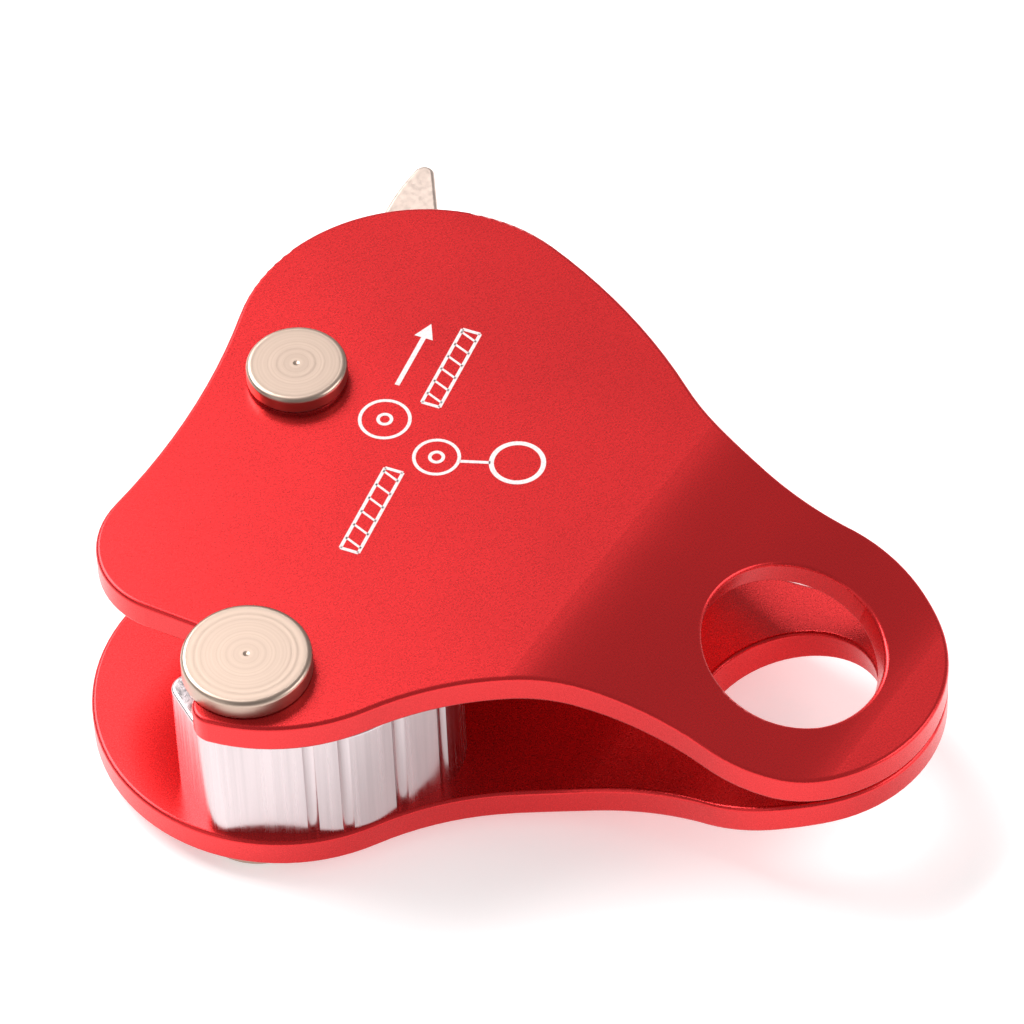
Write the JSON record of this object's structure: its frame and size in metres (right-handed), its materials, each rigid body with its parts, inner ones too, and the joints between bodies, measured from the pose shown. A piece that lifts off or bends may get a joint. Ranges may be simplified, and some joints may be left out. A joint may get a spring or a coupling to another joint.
{
  "type": "rope descender",
  "caption": "Two-plate rope descender: a front plate swings open on its pin, a sprung cam with a tail bears on the rope against a block, and a connector eye ends both plates.",
  "frame": {"origin": "midway between the two plates, below the centre of the connector eye in the front sheet", "axes": "+X along the rope towards the anchor, +Y from the eye towards the rope and the cam, +Z out of the front plate"},
  "size_m": [0.0853, 0.1071, 0.0304],
  "materials": {
    "anodised_plate": "satin red anodised, rolled sheet",
    "turned_steel": "face turned, rim polished",
    "cast_steel": "satin, lightly polished",
    "spring_steel": "drawn",
    "bare_aluminium": "bright extruded, fine lines along the extrusion",
    "bronze": "sintered",
    "washer_plastic": "matte",
    "black_steel": "black oxide",
    "printed_ink": "thin matte white print on the front plate"
  },
  "bodies": {
    "rear_frame": {"rear_plate": "anodised_plate", "upper_pin": "turned_steel", "lower_pin": "turned_steel", "upper_pin_collar": "turned_steel", "lower_pin_collar": "turned_steel", "head_friction_washer": "spring_steel", "front_thrust_washer": "washer_plastic", "rear_thrust_washer": "washer_plastic", "cam_spring": "spring_steel", "cam_stop_pin": "spring_steel", "brake_block": "bare_aluminium", "block_screw": "black_steel"},
    "front_side": {"front_plate": "anodised_plate", "plate_bush": "bronze"},
    "cam_lever": {"cam": "cast_steel", "cam_bush": "bronze"}
  },
  "joints": [
    {"name": "front_plate_swing", "type": "hinge", "parent": "rear_frame", "child": "front_side", "pos_m": [-0.0234, 0.0654, 0], "axis": [0, 0, 1], "range_deg": [0, 120]},
    {"name": "cam_pivot", "type": "hinge", "parent": "rear_frame", "child": "cam_lever", "pos_m": [-0.0234, 0.0654, 0], "axis": [0, 0, 1], "range_deg": [-38, 0], "stiffness_Nm_per_rad": 0.03, "springref_deg": 20.05}
  ]
}
